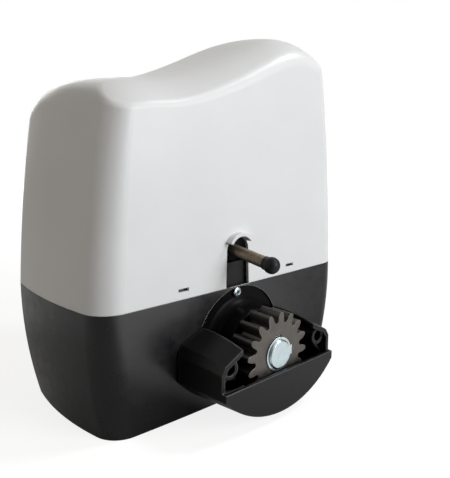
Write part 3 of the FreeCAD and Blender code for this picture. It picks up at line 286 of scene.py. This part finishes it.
def seal_rubber():
    """Matt rubber of the seal and the grommet."""
    return moulded("seal_rubber", colour=(0.015, 0.015, 0.015), roughness=0.55,
                   grain=0.4, depth=0.015).material


def metal(name, colour, roughness, clouds=6.0, spread=0.08, stretch=None, depth=0.006,
          edge=0.3, lit=None):
    """Metal with a grain that may be drawn out along an axis."""
    shader = Shader(name, colour, roughness, metallic=1.0)
    shader.mottled(clouds, spread, detail=4.0, stretch=stretch)
    shader.soft_edges(edge, lit, amount=0.6)
    shader.uneven_gloss(size=3.0, spread=0.07, stretch=stretch)
    shader.bump(shader.noise(size=0.4, detail=3.0, stretch=stretch), depth)
    return shader


def pinion_steel():
    """Sintered steel: warm grey, matt, with darker stains and painted highlights on the tooth
    edges.
    """
    shader = metal("pinion_steel", colour=(0.100, 0.0915, 0.0845), roughness=0.46,
                   clouds=9.0, spread=0.12, depth=0.02, edge=0.5, lit=(0.36, 0.34, 0.32))
    stains = shader.ramp(shader.noise(size=2.2, detail=5.0), low=0.56, high=0.78)
    shader.tinted(stains, colour=(0.085, 0.078, 0.07), amount=0.5)
    return shader.material


def zinc():
    """Blue-passivated zinc: pale, a little cloudy, softly glossy, with painted highlights on its
    edges.
    """
    return metal("zinc_plated", colour=(0.455, 0.53, 0.555), roughness=0.30,
                 clouds=5.0, spread=0.07, depth=0.008, edge=0.4,
                 lit=(0.85, 0.90, 0.92)).material


def ground_steel():
    """Ground steel: a bright surface whose grain is eight times finer along Z."""
    return metal("ground_steel", colour=(0.55, 0.55, 0.55), roughness=0.22,
                 clouds=4.0, spread=0.05, stretch=(1.0, 1.0, 8.0), depth=0.003).material


def spring_bronze():
    """Bronzed spring wire: brown, with paler worn patches."""
    shader = metal("spring_bronze", colour=(0.23, 0.19, 0.14), roughness=0.40,
                   clouds=3.0, spread=0.25, depth=0.01, edge=0.2)
    worn = shader.ramp(shader.noise(size=1.2, detail=4.0), low=0.55, high=0.75)
    shader.tinted(worn, colour=(0.34, 0.29, 0.22), amount=0.5)
    return shader.material


def cast_aluminium():
    """Die-cast aluminium: matt, with a fine skin of casting."""
    return metal("cast_aluminium", colour=(0.50, 0.51, 0.52), roughness=0.48,
                 clouds=9.0, spread=0.10, depth=0.05, edge=0.8).material


def bronze():
    """Bronze of the worm wheel, with painted highlights on the tooth edges."""
    return metal("bronze", colour=(0.55, 0.36, 0.16), roughness=0.30,
                 clouds=5.0, spread=0.12, depth=0.01, edge=0.4,
                 lit=(0.75, 0.55, 0.30)).material


def laminations():
    """Stack of thin steel sheets, seen as fine bands on its edge."""
    shader = metal("laminations", colour=(0.22, 0.24, 0.27), roughness=0.45,
                   clouds=6.0, spread=0.12, depth=0.01)
    sheets = shader.bands(pitch=1.0, axis="Z", waver=0.4)
    shader.tinted(sheets, colour=(0.10, 0.11, 0.125), amount=0.7)
    shader.bump(sheets, height=0.08)
    return shader.material


def copper_windings():
    """Lacquered copper wire, laid in rough rows."""
    shader = metal("copper_windings", colour=(0.50, 0.20, 0.085), roughness=0.32,
                   clouds=5.0, spread=0.15, depth=0.01)
    wires = shader.bands(pitch=1.1, axis="Z", waver=3.0)
    shader.tinted(wires, colour=(0.26, 0.09, 0.035), amount=0.7)
    shader.bump(wires, height=0.2)
    return shader.material


def board_green():
    """Printed board: dark green lacquer over a faint net of tracks."""
    shader = moulded("board_green", colour=(0.012, 0.115, 0.055), roughness=0.28,
                     grain=0.6, depth=0.006, spread=0.10)
    tracks = shader.ramp(shader.bands(pitch=2.4, axis="X", waver=2.0), low=0.75, high=0.95)
    shader.tinted(tracks, colour=(0.03, 0.24, 0.11), amount=0.5)
    return shader.material


def fuse_glass():
    """Clear glass of the fuse."""
    shader = Shader("fuse_glass", colour=(0.86, 0.90, 0.90), roughness=0.06)
    shader.mottled(size=6.0, spread=0.03)
    shader.bsdf.inputs["Transmission Weight"].default_value = 0.85
    shader.bsdf.inputs["IOR"].default_value = 1.5
    shader.uneven_gloss(size=4.0, spread=0.02)
    return shader.material


def plain_plastics():
    """The moulded pieces inside, each in its usual colour."""
    colours = {
        "relays": ((0.03, 0.10, 0.36), 0.35), "terminal_blocks": ((0.03, 0.30, 0.11), 0.42),
        "capacitor": ((0.76, 0.76, 0.72), 0.36), "transformer_coil": ((0.45, 0.30, 0.05), 0.40),
        "electronics_tray": ((0.16, 0.165, 0.17), 0.50),
        "limit_switches": ((0.02, 0.02, 0.022), 0.40),
    }
    return {name: moulded("plastic_" + name, colour, gloss).material
            for name, (colour, gloss) in colours.items()}


def dress_nodes():
    """Give every CAD node its material, and return the materials by node."""
    wear = {
        cover_white: ["cover"], base_black: ["base_housing"], guard_black: ["gear_guard"],
        flange_black: ["bearing_flange"], ball_rubber: ["lever_tip"],
        tower_black: ["limit_tower", "lever_hub", "release_lever", "release_pocket"],
        seal_rubber: ["oil_seal", "cable_grommet"], pinion_steel: ["pinion"],
        zinc: ["output_shaft", "retaining_ring", "flange_screws", "guard_screws", "release_lock",
               "levelling_screws", "levelling_nuts"],
        ground_steel: ["shaft_key", "pinion_spacer", "bearing_front", "bearing_rear",
                       "bearing_worm", "bearing_top", "lever_pin", "motor_shaft",
                       "capacitor_clip", "release_pin"],
        spring_bronze: ["limit_spring"],
        cast_aluminium: ["gearbox_housing", "motor_flange", "motor_end_shield"],
        bronze: ["worm_wheel"], laminations: ["stator_core", "transformer_core"],
        copper_windings: ["stator_windings"],
        board_green: ["control_board"], fuse_glass: ["fuse"],
    }
    materials = plain_plastics()
    for make, names in wear.items():
        made = make()
        for name in names:
            materials[name] = made
    for name, node in nodes.items():
        node.data.materials.clear()
        node.data.materials.append(materials[name])
    return materials


materials = dress_nodes()


# ---------------------------------------------------------------------- pieces
def mesh_of(name, mesh):
    """Blender mesh of a finished bmesh."""
    data = bpy.data.meshes.new(name)
    mesh.to_mesh(data)
    mesh.free()
    return data


def piece(name, mesh, body, material, smooth=35.0):
    """A finished mesh as a piece of the object, sharp at angles above so many degrees."""
    made = bpy.data.objects.new(name, mesh)
    bpy.context.scene.collection.objects.link(made)
    mesh.materials.append(material)
    for polygon in mesh.polygons:
        polygon.use_smooth = True
    made.data.set_sharp_from_angle(angle=math.radians(smooth))
    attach(made, body)
    return made


def spring_coils():
    """The close-wound spring: one wire wound along its sleeve, from the hub to the ball."""
    hub_gap, inside_ball = 12.8 * MM, 5.0 * MM
    radius, wire = 5.3 * MM, 0.62 * MM
    pitch = wire * 2.02
    steps_a_turn, ring = 28, 6
    tip_low, tip_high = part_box("lever_tip")
    pivot = Vector(joints["limit_lever_swing"]["pos_m"])
    ball = (tip_high.z - tip_low.z) / 2
    ball_centre = Vector((pivot.x, tip_low.y + ball, tip_low.z + ball))
    along = (ball_centre - pivot).normalized()
    start = pivot + along * hub_gap
    length = (ball_centre - start).length - inside_ball
    turns = length / pitch
    side = along.cross(Vector((0, 0, 1))).normalized()
    up = side.cross(along)
    mesh = bmesh.new()
    steps = int(turns * steps_a_turn)
    before = None
    for step in range(steps + 1):
        angle = math.tau * turns * step / steps
        outward = side * math.cos(angle) + up * math.sin(angle)
        centre = start + along * (length * step / steps) + outward * (radius - wire)
        loop = []
        for corner in range(ring):
            turn = math.tau * corner / ring
            edge = centre + outward * (wire * math.cos(turn)) + along * (wire * math.sin(turn))
            loop.append(mesh.verts.new(edge))
        if before:
            for corner in range(ring):
                after = (corner + 1) % ring
                mesh.faces.new((before[corner], before[after], loop[after], loop[corner]))
        else:
            mesh.faces.new(loop[::-1])
        before = loop
    mesh.faces.new(before)
    coils = piece("limit_spring_coils", mesh_of("limit_spring_coils", mesh), "limit_lever",
                  materials["limit_spring"], smooth=60.0)
    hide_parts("limit_spring")


def lever_ball():
    """The rubber ball on the spring's end, with a short skirt over the last coils."""
    low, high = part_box("lever_tip")
    pivot = Vector(joints["limit_lever_swing"]["pos_m"])
    radius = (high.x - low.x) / 2
    centre = Vector((pivot.x, low.y + radius, low.z + radius))
    along = (centre - pivot).normalized()
    skirt, mouth = radius * 0.82, radius * 0.74
    floor, lip, shoulder = -radius * 0.3, -radius * 1.05, -radius * 1.0
    draft = 0.5 * MM
    steps, around = 28, 64
    first = math.asin(skirt / radius)
    profile = [(0.0, floor), (mouth - draft, floor), (mouth, lip), (skirt, shoulder)]
    for step in range(steps):
        turn = first + (math.pi - first) * step / steps
        profile.append((radius * math.sin(turn), -radius * math.cos(turn)))
    profile.append((0.0, radius))
    mesh = bmesh.new()
    lathe(mesh, profile, centre, along, around)
    made = piece("lever_ball", mesh_of("lever_ball", mesh), "limit_lever",
                 materials["lever_tip"], smooth=50.0)
    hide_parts("lever_tip")


def solids_of(name):
    """Lowest and highest corner of each separate solid in a CAD node."""
    digits, sort_digits = 5, 4
    mesh = nodes[name].data
    group_of = {}

    def leader(key):
        while group_of.setdefault(key, key) != key:
            key = group_of[key]
        return key

    places = [tuple(round(number, digits) for number in vertex.co) for vertex in mesh.vertices]
    for polygon in mesh.polygons:
        first = leader(places[polygon.vertices[0]])
        for index in polygon.vertices[1:]:
            group_of[leader(places[index])] = first
    groups = {}
    for place in set(places):
        groups.setdefault(leader(place), []).append(place)
    corners = [(Vector(map(min, *group)), Vector(map(max, *group))) for group in groups.values()]
    return sorted(corners, key=lambda pair: (round(pair[0].x, sort_digits),
                                             round(pair[0].y, sort_digits)))


def lathe(mesh, profile, centre, axis, segments=48):
    """Turn a profile of (radius, distance along the axis) round a line through the centre."""
    pole = 1e-7
    side = axis.orthogonal().normalized()
    up = axis.cross(side)
    before = None
    for radius, along in profile:
        level = centre + axis * along
        if radius < pole:
            ring = [mesh.verts.new(level)]
        else:
            turns = [math.tau * step / segments for step in range(segments)]
            ring = [mesh.verts.new(level + (side * math.cos(turn) + up * math.sin(turn)) * radius)
                    for turn in turns]
        if before:
            for step in range(segments):
                corners = (before[step % len(before)], before[(step + 1) % len(before)],
                           ring[(step + 1) % len(ring)], ring[step % len(ring)])
                mesh.faces.new(list(dict.fromkeys(corners)))
        before = ring


def threaded_rod(mesh, start, axis, length, radius, pitch, segments=24):
    """Screw thread: one helical ridge along a rod, closed by flat ends."""
    side = axis.orthogonal().normalized()
    up = axis.cross(side)
    depth = pitch * 0.55
    rows = int(length / pitch * 2) - 2
    grid = []
    for row in range(rows + 2):
        for step in range(segments):
            turn = math.tau * step / segments
            reach = radius - (depth if row % 2 else 0.0)
            along = min(length, pitch / 2 * (row + 2 * step / segments))
            outward = (side * math.cos(turn) + up * math.sin(turn)) * reach
            grid.append(mesh.verts.new(start + axis * along + outward))

    def vertex(row, step):
        return grid[(row + 2 * (step // segments)) * segments + step % segments]

    for row in range(rows - 1):
        for step in range(segments):
            mesh.faces.new((vertex(row, step), vertex(row, step + 1), vertex(row + 1, step + 1),
                            vertex(row + 1, step)))
    for rim in (grid[:segments][::-1], grid[(rows - 1) * segments:rows * segments]):
        mesh.faces.new(rim)


def screw_group(name, label, body):
    """Pan-head screws with a cross recess and a threaded shank, for a group of plain ones."""
    head_height, rim_height, roundness = 0.55, 0.55, 0.6
    shank_share, pitch_share, sunk = 0.5, 0.4, 0.1 * MM
    arc_points, arc_step = 10, math.radians(9)
    cross_turn = 0.35
    foot_level, foot_long, foot_thick = 0.30, 0.26, 0.10
    top_level, top_long, top_thick = 1.2, 0.66, 0.17
    signs = ((1, 1), (-1, 1), (-1, -1), (1, -1))
    screws = bmesh.new()
    cutters = bmesh.new()
    toward = Vector((0.0, -1.0, 0.0))
    for low, high in solids_of(name):
        radius = (high.x - low.x) / 2
        middle = (low + high) / 2
        height = radius * head_height
        seat = Vector((middle.x, low.y + height, middle.z))
        rim = height * rim_height
        profile = [(0.0, 0.0), (radius, 0.0)]
        for step in range(arc_points):
            turn = arc_step * step
            profile.append((radius * math.cos(turn) ** roundness,
                            rim + (height - rim) * math.sin(turn)))
        lathe(screws, profile + [(0.0, height)], seat, toward)
        shank = radius * shank_share
        length = high.y - seat.y
        threaded_rod(screws, seat - toward * length, toward, length + sunk, shank,
                     shank * pitch_share)
        for turn in (cross_turn, cross_turn + math.pi / 2):
            cross = Vector((math.cos(turn), 0.0, math.sin(turn)))
            wide = cross.cross(toward)
            foot = seat + toward * (height * foot_level)
            top = seat + toward * (height * top_level)
            ring = [[cutters.verts.new(level + cross * (long * sign_a) + wide * (thick * sign_b))
                     for sign_a, sign_b in signs]
                    for level, long, thick in ((foot, radius * foot_long, radius * foot_thick),
                                               (top, radius * top_long, radius * top_thick))]
            cutters.faces.new(ring[0][::-1])
            cutters.faces.new(ring[1])
            for corner in range(4):
                after = (corner + 1) % 4
                cutters.faces.new((ring[0][corner], ring[0][after], ring[1][after],
                                   ring[1][corner]))
    data = cut_away(label, screws, cutters)
    made = piece(label, data, body, materials[name], smooth=30.0)
    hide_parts(name)


def cut_away(label, solid, tool):
    """Mesh of one bmesh with another taken out of it."""
    holders = []
    for suffix, mesh in (("", solid), ("_tool", tool)):
        bmesh.ops.recalc_face_normals(mesh, faces=mesh.faces)
        holder = bpy.data.objects.new(label + suffix, mesh_of(label + suffix, mesh))
        bpy.context.scene.collection.objects.link(holder)
        holders.append(holder)
    change = holders[0].modifiers.new("recess", "BOOLEAN")
    change.object = holders[1]
    change.operation = "DIFFERENCE"
    change.solver = "EXACT"
    change.use_self = True
    bpy.context.view_layer.update()
    depsgraph = bpy.context.evaluated_depsgraph_get()
    result = bpy.data.meshes.new_from_object(holders[0].evaluated_get(depsgraph))
    for holder in holders:
        bpy.data.objects.remove(holder)
    result.materials.clear()
    return result


def levelling_rods():
    """The four levelling screws, with their threads."""
    pitch, around = 1.25 * MM, 32
    mesh = bmesh.new()
    upward = Vector((0.0, 0.0, 1.0))
    for low, high in solids_of("levelling_screws"):
        centre = (low + high) / 2
        foot = Vector((centre.x, centre.y, low.z))
        threaded_rod(mesh, foot, upward, high.z - low.z, (high.x - low.x) / 2, pitch, around)
    made = piece("levelling_rods", mesh_of("levelling_rods", mesh), "base",
                 materials["levelling_screws"])
    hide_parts("levelling_screws")


spring_coils()
lever_ball()
screw_group("flange_screws", "flange_screws_cross", "base")
screw_group("guard_screws", "guard_screws_cross", "base")
levelling_rods()


# ----------------------------------------------------------------- stage, light
def joined(tree, operation, first, second):
    """Value of a math node over two sockets."""
    node = tree.nodes.new("ShaderNodeMath")
    node.operation = operation
    tree.links.new(first, node.inputs[0])
    tree.links.new(second, node.inputs[1])
    return node.outputs["Value"]


def seen_directly(tree):
    """1 for rays from the camera, off a glossy surface or through glass, else 0."""
    path = tree.nodes.new("ShaderNodeLightPath").outputs
    mirrored = joined(tree, "MAXIMUM", path["Is Glossy Ray"], path["Is Transmission Ray"])
    return joined(tree, "MAXIMUM", path["Is Camera Ray"], mirrored)


def round_the_compass(tree, direction):
    """Strength of the mirrored studio by bearing: white in front, flagged off to both sides."""
    full_circle = 360.0
    # Bearing in degrees, from -Y towards +X, and the strength there.
    behind = 0.30
    levels = ((-125, 0.35), (-62, 0.10), (-32, 0.10), (-10, 1.0), (34, 1.0), (54, 0.12))
    apart = tree.nodes.new("ShaderNodeSeparateXYZ")
    tree.links.new(direction, apart.inputs["Vector"])
    forward = tree.nodes.new("ShaderNodeMath")
    forward.operation = "MULTIPLY"
    tree.links.new(apart.outputs["Y"], forward.inputs[0])
    forward.inputs[1].default_value = -1.0
    bearing = joined(tree, "ARCTAN2", apart.outputs["X"], forward.outputs["Value"])
    share = tree.nodes.new("ShaderNodeMapRange")
    share.inputs["From Min"].default_value = -math.pi
    share.inputs["From Max"].default_value = math.pi
    tree.links.new(bearing, share.inputs["Value"])
    ramp = tree.nodes.new("ShaderNodeValToRGB")
    ramp.color_ramp.interpolation = "EASE"
    first, last = ramp.color_ramp.elements
    for degrees, level in levels:
        place = 0.5 + degrees / full_circle
        ramp.color_ramp.elements.new(place).color = (level, level, level, 1.0)
    first.color = last.color = (behind, behind, behind, 1.0)
    tree.links.new(share.outputs["Result"], ramp.inputs["Fac"])
    return ramp.outputs["Color"]


def make_world():
    """A dim warm studio that looks plain white where the camera sees it."""
    world = bpy.data.worlds.new("studio")
    bpy.context.scene.world = world
    world.use_nodes = True
    tree = world.node_tree
    lit = tree.nodes["Background"]
    lit.inputs["Color"].default_value = (1.0, 0.95, 0.85, 1.0)
    lit.inputs["Strength"].default_value = 0.15
    seen = tree.nodes.new("ShaderNodeBackground")
    seen.inputs["Color"].default_value = (1.0, 1.0, 1.0, 1.0)
    direction = tree.nodes.new("ShaderNodeTexCoord").outputs["Generated"]
    camera_ray = tree.nodes.new("ShaderNodeLightPath").outputs["Is Camera Ray"]
    strength = joined(tree, "MAXIMUM", camera_ray, round_the_compass(tree, direction))
    tree.links.new(strength, seen.inputs["Strength"])
    mix = tree.nodes.new("ShaderNodeMixShader")
    tree.links.new(seen_directly(tree), mix.inputs["Fac"])
    tree.links.new(lit.outputs["Background"], mix.inputs[1])
    tree.links.new(seen.outputs["Background"], mix.inputs[2])
    tree.links.new(mix.outputs["Shader"], tree.nodes["World Output"].inputs["Surface"])


def make_floor():
    """Wide pale floor: white to the camera far off, and near by it takes the object's shadow; in
    reflections its glow is dimmed near the object as a painted shadow.
    """
    half, cells = 6.0, 24
    grey, dullness = 0.28, 0.9
    # Distance from the middle in metres, near and far, and the glow at each of them.
    seen_glow = {"From Min": 0.35, "From Max": 1.6, "To Min": 0.82, "To Max": 0.98}
    # The same for mirrored rays, over an oval that lies a little towards the rear: the glow drops
    # near the object, a painted shadow in reflections.
    mirrored_glow_with_painted_shadow = {"From Min": 0.25, "From Max": 0.40, "To Min": 0.5, "To Max": 1.0}
    oval_scale, oval_shift = (1.0, 1.5, 1.0), (0.0, -0.075, 0.0)
    mesh = bmesh.new()
    bmesh.ops.create_grid(mesh, x_segments=cells, y_segments=cells, size=half)
    data = mesh_of("floor", mesh)
    floor = bpy.data.objects.new("floor", data)
    bpy.context.scene.collection.objects.link(floor)
    material = bpy.data.materials.new("floor_pale")
    material.use_nodes = True
    tree = material.node_tree
    diffuse = tree.nodes["Principled BSDF"]
    diffuse.inputs["Base Color"].default_value = (grey, grey, grey, 1.0)
    diffuse.inputs["Roughness"].default_value = dullness
    diffuse.inputs["Specular IOR Level"].default_value = 0.0
    place = tree.nodes.new("ShaderNodeTexCoord").outputs["Object"]
    outward = tree.nodes.new("ShaderNodeVectorMath")
    outward.operation = "NORMALIZE"
    oval = tree.nodes.new("ShaderNodeVectorMath")
    oval.operation = "MULTIPLY_ADD"
    oval.inputs[1].default_value = oval_scale
    oval.inputs[2].default_value = oval_shift
    tree.links.new(place, outward.inputs[0])
    tree.links.new(place, oval.inputs[0])
    shades = []
    for spot, values in ((place, seen_glow), (oval.outputs["Vector"], mirrored_glow_with_painted_shadow)):
        distance = tree.nodes.new("ShaderNodeVectorMath")
        distance.operation = "LENGTH"
        tree.links.new(spot, distance.inputs[0])
        ramp = tree.nodes.new("ShaderNodeMapRange")
        ramp.interpolation_type = "SMOOTHSTEP"
        for name, value in values.items():
            ramp.inputs[name].default_value = value
        tree.links.new(distance.outputs["Value"], ramp.inputs["Value"])
        shades.append(ramp.outputs["Result"])
    compass = round_the_compass(tree, outward.outputs["Vector"])
    camera_ray = tree.nodes.new("ShaderNodeLightPath").outputs["Is Camera Ray"]
    chosen = tree.nodes.new("ShaderNodeMix")
    tree.links.new(camera_ray, chosen.inputs["Factor"])
    tree.links.new(joined(tree, "MULTIPLY", shades[1], compass), chosen.inputs["A"])
    tree.links.new(shades[0], chosen.inputs["B"])
    glow = tree.nodes.new("ShaderNodeEmission")
    strength = joined(tree, "MULTIPLY", seen_directly(tree), chosen.outputs["Result"])
    tree.links.new(strength, glow.inputs["Strength"])
    both = tree.nodes.new("ShaderNodeAddShader")
    tree.links.new(diffuse.outputs["BSDF"], both.inputs[0])
    tree.links.new(glow.outputs["Emission"], both.inputs[1])
    tree.links.new(both.outputs["Shader"], tree.nodes["Material Output"].inputs["Surface"])
    data.materials.append(material)


def lamp(name, place, size, power, colour=(1.0, 1.0, 1.0)):
    """Soft square studio lamp that points at the middle of the object."""
    aim = (cad_box[0] + cad_box[1]) / 2
    light = bpy.data.lights.new(name, "AREA")
    light.shape = "SQUARE"
    light.size = size
    light.energy = power
    light.color = colour
    made = bpy.data.objects.new(name, light)
    bpy.context.scene.collection.objects.link(made)
    made.location = place
    made.rotation_euler = (aim - Vector(place)).to_track_quat("-Z", "Y").to_euler()


def make_camera():
    """The photograph's standpoint: before the pinion's left, a little above it."""
    turn, rise, roll = math.radians(42.8), math.radians(8.4), math.radians(0.1)
    from_pinion = Vector((-325.2, -293.5, 183.7)) * MM
    gear_low, gear_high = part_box("pinion")
    gear_face = Vector(((gear_low.x + gear_high.x) / 2, gear_low.y,
                        (gear_low.z + gear_high.z) / 2))
    data = bpy.data.cameras.new("camera")
    data.sensor_width = 36.0
    data.lens = 40.8
    data.shift_x = -0.015
    data.shift_y = -0.052
    data.clip_start = 0.01
    data.clip_end = 20.0
    camera = bpy.data.objects.new("camera", data)
    bpy.context.scene.collection.objects.link(camera)
    camera.location = gear_face + from_pinion
    look = Vector((math.sin(turn) * math.cos(rise), math.cos(turn) * math.cos(rise),
                   -math.sin(rise)))
    tilt = Matrix.Rotation(roll, 4, "Z").to_quaternion()
    camera.rotation_mode = "QUATERNION"
    camera.rotation_quaternion = look.to_track_quat("-Z", "Y") @ tilt
    bpy.context.scene.camera = camera


make_world()
make_floor()
lamp("key_front", (0.86, -2.13, 0.85), size=1.3, power=44.0, colour=(0.98, 0.99, 1.0))
lamp("crease_right", (1.05, -0.72, 1.60), size=0.35, power=13.0)
lamp("fill_back", (0.6, 2.3, 0.45), size=1.2, power=13.0, colour=(1.0, 0.97, 0.93))
lamp("fill_left", (-1.5, 0.35, 0.95), size=1.2, power=5.6, colour=(1.0, 0.93, 0.82))
make_camera()
bpy.context.scene.view_settings.view_transform = "Standard"
